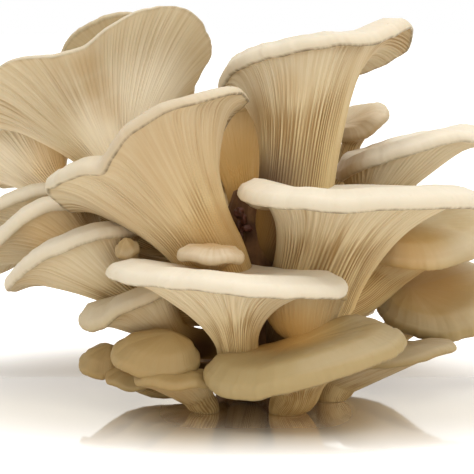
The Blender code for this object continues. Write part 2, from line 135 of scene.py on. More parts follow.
CLUSTER = (
    Mushroom(
        "shelf_front", centre=(-10, -40, 52), size=(89, 52), tilt=(-3, 2, 0), neck=(-7, -35, 25),
        root=(-3, -12, 6), waist=(8, 8), foot=8, bell=(0.4, 1), cup=4, rolled=4, wall=4,
        pulls=(
            (180, 16, -1.5, 3), (200, 16, -2, 3), (220, 16, -2, 1.5), (240, 16, -1.5, 1.5),
            (260, 16, -0.5, 2.5), (280, 16, 0, 1), (300, 16, 0.5, 0.5), (320, 16, 1, 0.5),
            (340, 16, 1, 0.5), (0, 16, 0, 2),
        ),
        gills=18, tan=0.0, line=0.9,
    ),
    Mushroom(
        "shelf_right", centre=(42, -30, 82), size=(94, 58), tilt=(1, 3, 0), neck=(22, -14, 42),
        root=(8, -6, 10), waist=(18, 11), foot=9, bell=(0.9, 0.65), wall=4,
        pulls=(
            (180, 16, -1.5, 5.5), (200, 16, -2.5, 4), (220, 16, -2.5, 2), (240, 16, -2, 1.5),
            (260, 16, -2, 1), (280, 16, -1.5, 2), (300, 16, -1, 1), (320, 16, -0.5, 1),
            (340, 16, -0.5, 1),
        ),
        gills=18, tan=0.1, line=1.0,
    ),
    Mushroom(
        "shelf_low", centre=(19, -48, 24), size=(78, 44), tilt=(13, -4, 0), neck=(16, -39, 10),
        root=(12, -34, 0), waist=(9, 8), foot=7, cup=2, rolled=6, wall=4, gills=16, pulls=(
            (0, 19, -1, 1.5), (24, 19, -1, 1), (48, 19, -1, 6), (72, 19, -0.5, 3), (96, 19, 0.5, -0.5),
            (120, 19, 0, 0.5), (144, 19, 0, 2), (168, 19, -1, 3), (192, 19, -1.5, 5), (216, 19, -3, 1),
            (240, 19, -2.5, -1.5), (264, 19, -2.5, 0.5), (288, 19, -2, 0.5), (312, 19, -1.5, 0.5),
            (336, 19, -2, 1),
        ), tan=0.78, line=0.8,
    ),
    Mushroom(
        "shelf_small", centre=(-17, -46, 62.5), size=(25, 14), tilt=(-3, -5, 0), neck=(-16, -42, 57),
        root=(-6, -14, 42), waist=(3.5, 3), foot=4, bell=(0.2, 0.2), cup=1, rolled=2, gills=8, tan=0.3,
    ),
    Mushroom(
        "trumpet_left", centre=(-42, -18, 100), size=(84, 52), tilt=(29, 22, 0), neck=(-18, -29.6, 61),
        root=(-6, 0, 34), waist=(14, 9), foot=9, bell=(0.3, 0.8), cup=14, rolled=6,
        pulls=(
            (180, 12, -4, 6.5), (195, 12, -2, 6), (210, 10, -1, 4.5), (222, 9, 0.5, 2.5),
            (233, 9, 1, 1.5), (244, 9, 2.5, -2), (256, 10, -0.5, 0.5), (270, 11, -2.5, 3),
            (288, 14, -3, 4), (306, 14, -2, 2.5), (324, 14, -2, 2.5), (342, 14, -2.5, 3.5),
            (0, 14, -2, 4.5), (18, 14, 1.5, 3.5), (38, 16, -1.5, 4.5),
        ),
        gills=20, line=1.0,
    ),
    Mushroom(
        "trumpet_right", centre=(22, 8, 135.5), size=(86, 54), tilt=(14, 20, 0), neck=(16, -6, 84),
        root=(4, 4, 46), waist=(15, 11), foot=9, bell=(0.7, 0.95), cup=14, rolled=6, wall=3.5, gills=20,
        pulls=(
            (180, 16, 6, 5.5), (200, 16, 6.5, 4.5), (220, 16, 6, 3), (240, 16, 5.5, 1.5),
            (260, 16, 4, 0.5), (280, 16, 2.5, 0), (300, 16, 1.5, -3.5), (320, 16, 0, -1),
            (340, 16, -1.5, 2.5), (0, 16, -1.5, 4),
        ), tan=0.18, line=1.0,
    ),
    Mushroom(
        "crown_left", centre=(-62, 28, 122), size=(98, 70), tilt=(20, 48, 0), neck=(-54, 18, 89),
        root=(-8, 6, 52), waist=(12, 9), foot=8, cup=8, rolled=4, wall=2.2,
        pulls=(
            (30, 18, -6.5, 0.5), (8, 18, -2, 0), (346, 18, 0, 1), (324, 18, 2, 5), (302, 18, 0, 3),
            (284, 14, 0.5, -1.5), (270, 11, 1, -4), (256, 14, 0.5, -4), (238, 18, -2.5, 1.5),
            (216, 18, -5.5, 2.5), (194, 18, -2, 1), (172, 18, 0.5, 2), (150, 18, 4, 7.5),
        ),
        gills=20, tan=0.2,
    ),
    Mushroom(
        "crown_low", centre=(-98, 48, 96), size=(48, 42), tilt=(32, 42, 0), neck=(-84, 40, 78),
        root=(-9, 9, 44), waist=(8, 6), foot=6, cup=6, rolled=4, tan=0.0,
    ),
    Mushroom(
        "fan_left_low", centre=(-73, -14, 58), size=(62, 40), tilt=(27, 14, 0), neck=(-47, -14, 42),
        root=(-9, 0, 32), waist=(8, 7), rolled=6, pulls=(
            (120, 16, 0.5, 1.5), (140, 16, 0.5, 3), (160, 16, 0, 2), (180, 16, 0, 3.5),
            (200, 16, 0.5, 3.5), (220, 16, 0.5, 3), (240, 16, 0, 3.5), (260, 16, -0.5, 4),
            (280, 16, -0.5, 3.5), (300, 16, 0, 2),
        ), tan=0.2, ridges=0.6, line=0.6,
    ),
    Mushroom(
        "fan_left_mid", centre=(-91, 8, 64), size=(64, 42), tilt=(30, 14, 0), neck=(-62, 5, 55),
        root=(-9, 5, 42), waist=(7, 6), rolled=6, pulls=(
            (200, 16, 0.5, 1.5), (220, 16, 1.5, 4), (240, 16, 2, 3), (260, 16, 1.5, 5.5),
            (280, 16, 1.5, 6.5), (300, 16, 4, 3), (320, 16, 0.5, 0),
        ), tan=0.2, ridges=0.7,
    ),
    Mushroom(
        "fan_left_high", centre=(-99, 28, 69), size=(56, 38), tilt=(20, 12, 0), neck=(-74, 23, 57),
        root=(-9, 8, 50), waist=(6, 6), foot=5, pulls=(
            (200, 16, 0.5, 0.5), (220, 16, 4.5, 4), (240, 16, 4, 5), (260, 16, 2.5, 6), (280, 16, 2, 5.5),
            (300, 16, 1.5, 4.5), (320, 16, 0, 0.5),
        ), tan=0.2,
    ),
    Mushroom(
        "shell_left", centre=(-50, -27, 41), size=(40, 30), tilt=(20, 6, 0), neck=(-31, -20, 27),
        root=(-9, -2, 19), waist=(6, 6), bell=(0.2, 0.2), cup=1, pulls=(
            (160, 16, -0.5, 0.5), (180, 16, -0.5, 2), (200, 16, -0.5, 1.5), (220, 16, 0, -1),
            (240, 16, 1, -1), (260, 16, 0.5, 2.5), (280, 16, 2, 2.5), (300, 16, 4, 3.5),
            (320, 16, 1.5, 1.5),
        ), tan=0.5, ridges=0.3, line=0.8,
    ),
    Mushroom(
        "button_left", centre=(-38, -40, 24), size=(34, 24), tilt=(-6, -26, 0), neck=(-33, -31, 16),
        root=(-10, -6, 8), waist=(5, 5), foot=5, bell=(0.2, 0.2), cup=-3, rolled=4, gills=8,
        tan=0.95, ridges=0.4,
    ),
    Mushroom(
        "button_far_left", centre=(-60, -22, 17), size=(18, 16), tilt=(5, -30, 0), neck=(-55, -15, 11),
        root=(-12, 0, 9), waist=(3.5, 3.5), foot=4, bell=(0.2, 0.2), cup=-2, rolled=2.5, gills=8,
        tan=0.8, ridges=0.4,
    ),
    Mushroom(
        "button_low_left", centre=(-48, -30, 12), size=(20, 14), tilt=(-5, -20, 0), neck=(-44, -24, 7),
        root=(-12, -8, 5), waist=(2.5, 2.5), foot=3, bell=(0.1, 0.1), cup=-1, rolled=1.5, wall=2.5, gills=8,
        tan=0.8, ridges=0.4,
    ),
    Mushroom(
        "foot_left", centre=(-31, -44, 15), size=(30, 20), tilt=(-2, 0, 0), neck=(-22, -36, 6),
        root=(-19, -33, 0), waist=(6, 5), foot=5, bell=(0, 0), cup=1, rolled=2, gills=8, tan=0.9,
    ),
    Mushroom(
        "bud_left", centre=(-49, -30, 62), size=(9, 9), tilt=(12, -35, 0), neck=(-47.5, -26, 58),
        root=(-44, -12, 50), waist=(2.5, 2.5), foot=3, bell=(0.1, 0.1), cup=-2, rolled=1, wall=2.5, gills=8,
        tan=0.8,
    ),
    Mushroom(
        "trumpet_behind", centre=(-9, 32, 110), size=(40, 34), tilt=(10, 20, 0), neck=(-4, 22, 76),
        root=(0, 10, 54), waist=(7, 6), bell=(0.4, 0.4), cup=8, rolled=4, tan=0.5,
    ),
    Mushroom(
        "crown_behind", centre=(-62, 60, 136), size=(46, 36), tilt=(25, 55, 0), neck=(-46, 54, 111),
        root=(-9, 14, 56), waist=(6, 5), foot=5, bell=(0.4, 0.4), rolled=3, gills=8,
        tan=0.5, ridges=0.35,
    ),
    Mushroom(
        "petal_right", centre=(44, 40, 107), size=(26, 20), tilt=(25, -30, 0), neck=(41, 43, 96),
        root=(10, 15, 48), waist=(4, 4), foot=4, bell=(0.2, 0.2), cup=2, rolled=3, gills=8,
        tan=0.45, ridges=0.35,
    ),
    Mushroom(
        "fan_right_high", centre=(65, 22, 98), size=(66, 40), tilt=(14, -2, 0), neck=(46, 19, 70),
        root=(9, 5, 50), waist=(8, 7), bell=(0.4, 0.4), pulls=(
            (180, 16, -0.5, -1.5), (200, 16, -0.5, -1), (220, 16, -1, 0.5), (240, 16, -0.5, 1.5),
            (260, 16, -0.5, 3), (280, 16, 0, 3.5), (300, 16, 0.5, 3), (320, 16, 1.5, 0), (340, 16, 1, -1),
        ), tan=0.0, line=0.6,
    ),
    Mushroom(
        "fan_right_mid", centre=(69, 3, 66), size=(58, 42), tilt=(6, -26, 0), neck=(50, 8, 43),
        root=(9, 0, 24), waist=(8, 7), cup=0, rolled=6, wall=4, tan=0.75, ridges=0.35,
    ),
    Mushroom(
        "fan_right_low", centre=(77, 14, 38), size=(54, 46), tilt=(4, -34, 0), neck=(60, 21, 21),
        root=(12, 7, 8), waist=(6, 5), cup=0, rolled=6, wall=4, tan=0.8, ridges=0.35,
    ),
    Mushroom(
        "foot_right", centre=(56, -11, 18), size=(48, 26), tilt=(9, 4, 0), neck=(32, -13, 6),
        root=(30, -13, 0), waist=(8, 6), bell=(0, 0), cup=2, rolled=2, foot=6.5, pulls=(
            (200, 16, -1, 0), (220, 16, -3.5, -1), (240, 16, -2.5, -1), (260, 16, -2, -1),
            (280, 16, -1.5, -1.5), (300, 16, -0.5, -1.5), (320, 16, -0.5, -0.5), (340, 16, -0.5, 0),
            (0, 16, 0.5, -0.5),
        ), tan=0.5, ridges=0.35,
    ),
    Mushroom(
        "shell_middle", centre=(17, -31, 47), size=(36, 28), tilt=(-5, 20, 0), neck=(20, -24, 26),
        root=(12, -10, 6), waist=(5.5, 4.5), bell=(-0.6, -0.6), cup=3, rolled=3, tan=1.0,
    ),
    Mushroom(
        "back_low", centre=(25, 52, 32), size=(58, 44), tilt=(-5, -12, 0), neck=(24, 46, 15),
        root=(5, 14, 10), waist=(5.5, 4.5), cup=3,
    ),
    Mushroom(
        "back_left", centre=(-40, 58, 60), size=(60, 44), tilt=(12, -15, 0), neck=(-30, 46, 41),
        root=(-7, 14, 28), waist=(7, 6),
    ),
    Mushroom(
        "back_right", centre=(40, 54, 70), size=(60, 44), tilt=(-8, -15, 0), neck=(30, 44, 49),
        root=(6, 13, 34), waist=(7, 6),
    ),
    Mushroom(
        "back_high", centre=(-8, 66, 96), size=(60, 42), tilt=(5, -20, 0), neck=(-5, 55, 71),
        root=(0, 14, 50), waist=(7, 6), bell=(0.35, 0.35), cup=6,
    ),
    Mushroom(
        "back_low_left", centre=(-38, 30, 28), size=(38, 32), tilt=(8, -10, 0), neck=(-29, 24, 17),
        root=(-9, 9, 9), waist=(4.5, 4.5), foot=5, bell=(0.2, 0.2), cup=2, rolled=4,
    ),
)


def tint(name, description, default):
    return FloatVectorProperty(
        name=name, description=description, default=default, size=4, subtype="COLOR", min=0, max=1
    )


class ClusterLook(bpy.types.PropertyGroup):
    """Sizes and colours that a user would change."""

    gills: IntProperty(
        name="Long gills", description="Gills that reach the stem of a large cap",
        default=84, min=12, max=120,
    )
    gill_depth: FloatProperty(
        name="Gill depth", description="Depth of a gill as a share of the space between gills",
        default=0.9, min=0, max=2, subtype="FACTOR",
    )
    gill_unevenness: FloatProperty(
        name="Gill unevenness", description="How much the gills differ in height", default=0.75,
        min=0, max=1, subtype="FACTOR",
    )
    crest_colour: tint("Gill edges", "Colour of the gills' outer edges", (0.615, 0.51, 0.335, 1))
    # Painted shade: the gilled stems are coloured browner towards their feet.
    stem_shade_colour: tint(
        "Stems", "Colour of the gilled stems, which stand in the shade", (0.68, 0.50, 0.22, 1)
    )
    # Painted shade between the gills.
    gill_gap_shade_colour: tint("Between gills", "Colour deep between the gills", (0.27, 0.155, 0.045, 1))
    skin_colour: tint("Pale cap skin", "Colour of the pale caps", (0.72, 0.64, 0.50, 1))
    # Partly the caps' own tan and speckles, partly painted shade on caps and gills that lie in shadow.
    tan_and_shade_colour: tint("Tan cap skin", "Colour of the darkest caps", (0.365, 0.262, 0.11, 1))
    edge_colour: tint(
        "Margin line", "Thin dried line where gills and cap skin meet", (0.15, 0.11, 0.055, 1)
    )
    # Painted shade in the nooks between mushrooms; also the warm random patches on the gills and the base's
    # fibres.
    patch_and_shade_colour: tint(
        "Nooks", "Colour of damp flesh where mushrooms crowd together", (0.33, 0.185, 0.05, 1)
    )
    # Painted shade on stems deep inside the cluster and between the feet; also the dark random stains of the
    # base and the dried buds.
    stain_and_crevice_shade_colour: tint("Crevices", "Colour of stems deep inside the cluster", (0.07, 0.022, 0.006, 1))
    dried_colour: tint("Dried buds", "Colour of the lit parts of dried buds", (0.12, 0.035, 0.016, 1))
    base_colour: tint("Base", "Colour of the shared base", (0.26, 0.13, 0.045, 1))
    floor_colour: tint("Floor", "Colour of the studio floor", (0.91, 0.88, 0.835, 1))
    # Painted shade: the glossy floor near the feet is tinted darker and warmer, which also tints its
    # rendered reflection.
    mirror_shade_colour: tint(
        "Floor near the feet", "Colour of the floor where it mirrors the cluster", (0.87, 0.76, 0.56, 1)
    )
    camera_distance: FloatProperty(
        name="Camera distance", description="From the camera to the cluster's middle", default=0.65,
        min=0.2, max=3, unit="LENGTH",
    )


def look():
    return bpy.context.scene.mushroom_look


# Painted shade in the nooks between the mushrooms, a brown colour with a warm painted glow: middle, reach
# and strength.
PAINTED_SHADE_SPOTS = (
    ((-15, -36, 66), 28, 0.95),
    ((-30, -34, 92), 46, 0.5),
    ((-4, -6, 70), 22, 1.0),
    ((-8, 18, 88), 26, 0.6),
    ((-22, -24, 56), 20, 0.8),
    ((-20, -20, 18), 24, 1.0),
    ((-30, -24, 28), 22, 0.7),
    ((-28, -40, 32), 12, 0.5),
    ((-40, -45, 24), 24, 0.4),
    ((-58, -30, 16), 18, 0.4),
    ((-34, -50, 12), 20, 0.4),
    ((2, -40, 30), 14, 0.5),
    ((10, -34, 29), 22, 0.95),
    ((58, -10, 56), 18, 0.6),
    ((74, 8, 46), 26, 0.9),
    ((-49, -32, 63), 14, 0.4),
    ((0, -6, 112), 14, 0.5),
    ((36, 13, 86), 18, 0.7),
    ((44, 34, 104), 18, 0.5),
    ((-72, 30, 84), 20, 0.7),
    ((-62, -10, 68), 16, 0.6),
    ((17, -30, 2), 22, 0.7),
    ((-67, 4, 130), 11, 0.45),
    ((-63, 8, 122), 11, 0.45),
    ((-59, 11, 114), 10, 0.4),
    ((-27, -42, 100), 10, 0.3),
    ((12, -18, 124), 10, 0.4),
)

# Painted shade, very dark, deep between the feet: middle, reach and strength.
PAINTED_GAP_SHADE = (
    ((-20, -22, 20), 17, 0.95),
    ((-8, -22, 16), 16, 0.9),
    ((6, -24, 22), 14, 0.8),
)

# Painted light where light falls on or shines through thin pale flesh, a pale colour with a painted glow:
# middle, reach and strength.
PAINTED_LIGHT_SPOTS = (
    ((-42, 18, 115), 30, 0.9),
    ((-60, 6, 104), 22, 0.8),
    ((-100, 30, 84), 30, 0.6),
)

# Painted light: an orange glow painted on flesh where light comes through it from behind: middle, reach and
# strength.
LIT_THROUGH = (
    ((-8, 16, 94), 30, 1.0),
    ((40, -4, 42), 22, 0.5),
    ((66, -12, 60), 18, 0.6),
    ((20, -38, 33), 18, 0.5),
    ((-82, -5, 66), 16, 0.6),
    ((-84, 34, 92), 20, 0.5),
)

# Dried buds on the base: middle and half sizes.
DRIED_BUDS = (
    ((-6.4, -6.0, 73.4), (2.0, 1.6, 2.2)),
    ((-4.6, -6.2, 70.6), (1.3, 1.3, 2.4)),
    ((-6.6, -6.4, 68.4), (0.9, 1.1, 2.2)),
    ((-3.4, -7.2, 67.4), (2.2, 1.8, 1.4)),
    ((-5.4, -7.0, 64.6), (0.8, 1.0, 2.6)),
)

# Share of the way out to a cap's margin where the margin begins to roll down.
ROLL_START = 0.78

# Least height of the rings up to the margin: this many millimetres times the ring's number.
FOOT_RISE = 0.15

# Share of the way out where the cap's skin starts, inside the rounded margin.
SKIN_START = 0.95

# Points of a ring whose length is the measure for the gills' depth there.
DEPTH_SPAN = 8

# Space kept between the finest shapes and the box of the solids, in millimetres.
BOX_MARGIN = 0.02

# Painted light given off by the flesh: none, a warm painted glow in the painted-shade nooks, a pale painted
# glow where light falls on thin flesh and an orange painted glow where light comes through.
NO_GLOW = (0.0, 0.0, 0.0, 1)
SHADE_BOUNCE_GLOW = (0.045, 0.022, 0.004, 1)
PAINTED_LIGHT_GLOW = (0.17, 0.145, 0.095, 1)
LIT_GLOW = (0.20, 0.11, 0.03, 1)

# Points around a mushroom, rings of its stem, gilled flare, margin and cap, and long gills as a
# share of a large cap's, by how many gills its solid has.
FINE = {
    "large": (620, 12, 28, 6, 10, 1.0),
    "medium": (320, 9, 20, 5, 8, 2 / 3),
    "small": (180, 7, 13, 4, 7, 1 / 3),
}


def fineness(m):
    if m.gills > 14:
        return FINE["large"]
    return FINE["medium"] if m.gills > 10 else FINE["small"]


def around(values):
    """A value for each angle as a column, to multiply directions by."""
    return np.asarray(values)[:, None]


def unit(vector):
    return vector / np.linalg.norm(vector)


def waves(angles, counts, seed):
    """A smooth closed wavy line round a circle, between about -1 and 1, from a fixed seed."""
    dice = np.random.default_rng(seed)
    total = 0
    for count in counts:
        size, phase = dice.uniform(0.4, 1), dice.uniform(0, FULL_TURN)
        total = total + size * np.sin(count * angles + phase)
    return total / math.sqrt(len(counts))


def cap_axes(tilt):
    """Right, back and upward directions of a cap."""
    roll, pitch, turn = (math.radians(angle) for angle in tilt)
    turned = Matrix.Rotation(-roll, 3, "Y") @ Matrix.Rotation(-pitch, 3, "X") @ Matrix.Rotation(turn, 3, "Z")
    return [np.array(turned.col[i]) for i in range(3)]


def margin(m, angles):
    """The cap's flat, frayed margin, and how far its waves and pulls move each point."""
    right, back, up = cap_axes(m.tilt)
    seed = sum(map(ord, m.name))
    inset = 0.35 * m.wall
    fray = min(1, m.size[1] / 50)
    frayed = 0.18 * waves(angles, range(9, 30, 4), seed) + 0.1 * waves(angles, range(31, 80, 7), seed + 1)
    frayed = frayed * fray
    wide, deep = m.size[0] / 2 - inset + frayed, m.size[1] / 2 - inset + frayed
    flat = np.array(m.centre) + around(np.cos(angles) * wide) * right + around(np.sin(angles) * deep) * back
    height, count, phase = m.ripple
    fine = 0.25 * fray * waves(angles, range(7, 24, 3), seed + 2)
    moved = around(height * np.sin(count * angles + phase) + fine) * up
    for at, spread, x, z in m.pulls:
        apart = (np.degrees(angles) - at + 180) % 360 - 180
        moved = moved + around(np.exp(-((apart / spread) ** 2))) * np.array((x, 0, z), float)
    return flat, moved


def hub_point(m):
    """The deepest point of the cap's hollow, drawn from its middle towards the neck."""
    right, back, _ = cap_axes(m.tilt)
    apart = np.array(m.neck) - np.array(m.centre)
    aside = np.array([apart @ right / (m.size[0] / 2), apart @ back / (m.size[1] / 2)])
    aside *= min(1.0, 0.5 / max(np.linalg.norm(aside), 0.01))
    return np.array(m.centre) + right * aside[0] * m.size[0] / 2 + back * aside[1] * m.size[1] / 2


def neck_axis(m):
    """The stem's direction at the neck, between its own way there and the cap's way out."""
    _, _, up = cap_axes(m.tilt)
    outward = unit(unit(np.array(m.centre) - np.array(m.neck)) + up)
    return unit(unit(np.array(m.neck) - np.array(m.root)) + outward)


def neck_frame(m):
    right, _, _ = cap_axes(m.tilt)
    axis = neck_axis(m)
    right = unit(right - (right @ axis) * axis)
    return right, np.cross(axis, right), axis


def oval(angles, wide, deep, right, back):
    return around(np.cos(angles) * wide) * right + around(np.sin(angles) * deep) * back


def roll_down(m, share):
    """How far the rolled margin lies below the rest of the cap."""
    along = np.clip((share - ROLL_START) / (1 - ROLL_START), 0, 1)
    return m.rolled * along**2


def gill_angles(m, count, step):
    """Angles of the points on a ring: unevenly spaced, so that the gills on them are uneven too."""
    angles = np.arange(count) * FULL_TURN / count
    seed = 7 + sum(map(ord, m.name))
    bent = 0.05 * waves(angles, (2, 3, 5), seed) + 0.012 * waves(angles, (11, 17, 23), seed + 1)
    return angles + bent + step * 0.03 * waves(angles, (3, 4, 7, 13), seed + 2)


def under_ring(m, angles, step):
    """A ring of the gilled underside: step runs from 0 at the neck to 1 at the margin."""
    right, back, axis = neck_frame(m)
    _, _, up = cap_axes(m.tilt)
    inner = np.array(m.neck) + oval(angles, m.waist[0], m.waist[1], right, back)
    flat, moved = margin(m, angles)
    outer = flat + moved
    rise = around((outer - inner) @ axis) * axis
    bell = around(np.interp(np.cos(angles), (-1, 1), m.bell))
    bend = inner + np.maximum(bell, 0) * rise + np.maximum(-bell, 0) * (outer - inner - rise)
    curve = (1 - step) ** 2 * inner + 2 * step * (1 - step) * bend + step**2 * outer
    return curve - roll_down(m, step) * up


def top_ring(m, angles, share):
    """A ring of the cap's skin, from share 1 at the margin inwards."""
    _, _, up = cap_axes(m.tilt)
    flat, moved = margin(m, angles)
    hub = hub_point(m)
    flesh = m.wall * (1 + 0.5 * (1 - share))
    hollow = m.cup * (1 - share) ** 1.5 if m.cup > 0 else m.cup * (1 - share**2)
    height = flesh - hollow - roll_down(m, share)
    return hub + share * (flat - hub) + share**1.5 * moved + height * up


def margin_rings(m, angles, count):
    """Rings round the rolled margin, from the gills' ends to the cap's skin."""
    _, _, up = cap_axes(m.tilt)
    lower, upper = under_ring(m, angles, 1.0), top_ring(m, angles, SKIN_START)
    middle, half = (lower + upper) / 2, (upper - lower) / 2
    flat, _ = margin(m, angles)
    out = flat - np.array(m.centre)
    out = out - around(out @ up) * up
    out = out / around(np.linalg.norm(out, axis=1)) * 0.5 * m.wall
    turns = np.linspace(0, math.pi, count + 2)[1:-1]
    return [middle - math.cos(turn) * half + math.sin(turn) * out for turn in turns]


def stem_rings(m, count_around, count):
    """Rings of the stem from its foot to just below the neck, across its bent axis."""
    right, back, axis = (Vector(direction) for direction in neck_frame(m))
    neck, root = np.array(m.neck), np.array(m.root)
    reach = 0.35 * np.linalg.norm(neck - root)
    leaving = np.array([0, 0, 1.0]) if root[2] == 0 else unit(neck - root)
    points = root, root + reach * leaving, neck - reach * np.array(axis), neck
    angles = gill_angles(m, count_around, 0)
    rings = []
    for t in np.linspace(0, 1, count, endpoint=False):
        weights = (1 - t) ** 3, 3 * t * (1 - t) ** 2, 3 * t * t * (1 - t), t**3
        middle = sum(weight * point for weight, point in zip(weights, points))
        slopes = (1 - t) ** 2, 2 * t * (1 - t), t * t
        along = sum(slope * (after - before) for slope, before, after in zip(slopes, points, points[1:]))
        swing = axis.rotation_difference(Vector(along))
        wide, deep = ((1 - t) * m.foot + t * waist for waist in m.waist)
        rings.append(middle + oval(angles, wide, deep, np.array(swing @ right), np.array(swing @ back)))
    return rings


def ring_mesh(name, rings, ends, values):
    """A closed mesh through rings of points with a point at each end.

    Values are numbers for each ring or each of its points, kept on the mesh under their names.
    The UV map runs once round the mesh and from its foot to its top.
    """
    rings = np.asarray(rings)
    rows, sides = rings.shape[:2]
    points = np.concatenate([rings.reshape(-1, 3), np.asarray(ends)]) * MM
    row, side = np.meshgrid(np.arange(rows - 1), np.arange(sides), indexing="ij")
    after = (side + 1) % sides
    lower, upper = row * sides, (row + 1) * sides
    quads = np.stack([lower + side, lower + after, upper + after, upper + side], -1)
    quads_u = np.stack([side, side + 1, side + 1, side], -1) / sides
    quads_v = np.stack([row, row, row + 1, row + 1], -1) / rows
    one = np.arange(sides)
    two = (one + 1) % sides
    last = (rows - 1) * sides
    foot = np.stack([two, one, np.full(sides, rows * sides)], -1)
    top = np.stack([last + one, last + two, np.full(sides, rows * sides + 1)], -1)
    fans_u = np.stack([one + 1, one, one + 0.5], -1) / sides, np.stack([one, one + 1, one + 0.5], -1) / sides
    fans_v = np.tile([0, 0, 0], (sides, 1)), np.tile([(rows - 1) / rows, (rows - 1) / rows, 1], (sides, 1))
    corners = np.concatenate([quads.ravel(), foot.ravel(), top.ravel()])
    quad_corners = 4 * (rows - 1) * sides
    starts = np.concatenate([np.arange(0, quad_corners, 4), quad_corners + np.arange(2 * sides) * 3])
    mesh = bpy.data.meshes.new(name)
    mesh.vertices.add(len(points))
    mesh.vertices.foreach_set("co", points.ravel())
    mesh.loops.add(len(corners))
    mesh.loops.foreach_set("vertex_index", corners)
    mesh.polygons.add(len(starts))
    mesh.polygons.foreach_set("loop_start", starts)
    mesh.update(calc_edges=True)
    mesh.shade_smooth()
    unwrapped = mesh.uv_layers.new(name="around_and_along")
    u = np.concatenate([quads_u.ravel(), fans_u[0].ravel(), fans_u[1].ravel()])
    v = np.concatenate([quads_v.ravel(), fans_v[0].ravel(), fans_v[1].ravel()])
    unwrapped.uv.foreach_set("vector", np.stack([u, v], -1).ravel())
    for key, given in values.items():
        given = np.asarray(given, float)
        full = given if given.ndim == 2 else np.repeat(given[:, None], sides, axis=1)
        numbers = np.concatenate([full.ravel(), [full[0].mean(), full[-1].mean()]])
        mesh.attributes.new(key, "FLOAT", "POINT").data.foreach_set("value", numbers)
    return mesh


def mushroom_mesh(m):
    """One fruit body at full detail, with the numbers that its gills and colours follow."""
    sides, stem_rows, flare_rows, margin_rows, top_rows, _ = fineness(m)
    steps = np.concatenate([np.linspace(0, 0.94, flare_rows - 3), [0.965, 0.985, 1.0]])
    shares = np.linspace(SKIN_START, 0.06, top_rows)
    rim = gill_angles(m, sides, 1)
    rings = stem_rings(m, sides, stem_rows)
    rings += [under_ring(m, gill_angles(m, sides, step), step) for step in steps]
    rings += margin_rings(m, rim, margin_rows)
    rings += [top_ring(m, rim, share) for share in shares]
    low, high = np.array(SOLID_BOX[0]) / MM, np.array(SOLID_BOX[1]) / MM
    for i, ring in enumerate(rings[:-top_rows]):
        ring[:, 2] = np.maximum(ring[:, 2], FOOT_RISE * i)
    rings = np.clip(np.asarray(rings), low + BOX_MARGIN, high - BOX_MARGIN)
    space = np.linalg.norm(np.roll(rings, -1, axis=1) - rings, axis=2).mean(axis=1) * DEPTH_SPAN
    stem = np.linspace(0, 0.55, stem_rows, endpoint=False) ** 1.5
    flare = np.minimum(1, 0.41 + 2 * steps) * (1 - steps**14)
    relief = m.ridges * np.concatenate([stem, flare, np.zeros(margin_rows + top_rows)])
    turned_over = np.linspace(1.0, 1.05, margin_rows)
    along = np.concatenate([np.linspace(-1, 0, stem_rows, endpoint=False), steps, turned_over, 2 - shares])
    skin = np.concatenate([np.zeros(stem_rows + flare_rows - 1), [0.5], np.ones(margin_rows + top_rows)])
    edge = np.zeros(len(rings))
    first = stem_rows + flare_rows - 1
    edge[first:first + 2] = m.line, 0.8 * m.line
    _, _, up = cap_axes(m.tilt)
    tip = hub_point(m) + (m.wall * 1.5 - m.cup) * up
    foot = rings[0].mean(axis=0)
    values = {
        "turn": np.tile(np.arange(sides) / sides, (len(rings), 1)),
        "along": along,
        "relief": relief,
        "space": space * MM,
        "skin": skin,
        "edge": edge,
        "tan": np.full(len(rings), m.tan),
    }
    return ring_mesh("flesh_" + m.name, rings, (foot, np.clip(tip, low, high)), values)


class Value:
    """A number output of a node, so that sums of nodes are written as sums."""

    def __init__(self, graph, socket):
        self.graph = graph
        self.socket = socket

    def maths(self, operation, *others):
        return self.graph.node("ShaderNodeMath", {"operation": operation}, *((self,) + others))

    def __add__(self, other):
        return self.maths("ADD", other)

    def __radd__(self, other):
        return self.maths("ADD", other)

    def __sub__(self, other):
        return self.maths("SUBTRACT", other)

    def __rsub__(self, other):
        return self.graph.node("ShaderNodeMath", {"operation": "SUBTRACT"}, other, self)

    def __mul__(self, other):
        return self.maths("MULTIPLY", other)

    def __rmul__(self, other):
        return self.maths("MULTIPLY", other)

    def __pow__(self, other):
        return self.maths("POWER", other)

    def cosine(self):
        return self.maths("COSINE")

    def sine(self):
        return self.maths("SINE")

    def larger(self, other):
        return self.maths("MAXIMUM", other)

    def smooth(self, low, high):
        """From 0 at low to 1 at high."""
        settings = {"interpolation_type": "SMOOTHSTEP"}
        return self.graph.node("ShaderNodeMapRange", settings, self, low, high, 0.0, 1.0)


class Graph:
    """A node tree with one way to add any node."""

    def __init__(self, tree):
        self.tree = tree

    def node(self, kind, settings=None, *given, output=0, **named):
        made = self.tree.nodes.new(kind)
        for key, setting in (settings or {}).items():
            setattr(made, key, setting)
        for key, value in list(enumerate(given)) + list(named.items()):
            self.plug(made.inputs[key], value)
        return Value(self, made.outputs[output])

    def plug(self, socket, value):
        if isinstance(value, Value):
            self.tree.links.new(value.socket, socket)
        elif value is not None:
            socket.default_value = value

    def mix(self, factor, one, other, blend="MIX"):
        made = self.tree.nodes.new("ShaderNodeMix")
        made.data_type = "RGBA"
        made.blend_type = blend
        for socket, value in zip((made.inputs[0], made.inputs[6], made.inputs[7]), (factor, one, other)):
            self.plug(socket, value)
        return Value(self, made.outputs[2])

    def nearness(self, place, spots):
        """From 0 away from every spot to a spot's strength near it."""
        found = []
        for middle, reach, strength in spots:
            spot = tuple(x * MM for x in middle)
            apart = self.node(
                "ShaderNodeVectorMath", {"operation": "DISTANCE"}, place, spot, output="Value"
            )
            found.append(apart.smooth(reach * MM, 0.2 * reach * MM) * strength)
        return reduce(Value.larger, found)

    def noise(self, place, scale, detail, roughness=0.5):
        return self.node(
            "ShaderNodeTexNoise", None, place, Scale=scale, Detail=detail, Roughness=roughness
        )

    def attribute(self, name):
        return self.node("ShaderNodeAttribute", {"attribute_name": name}, output="Fac")


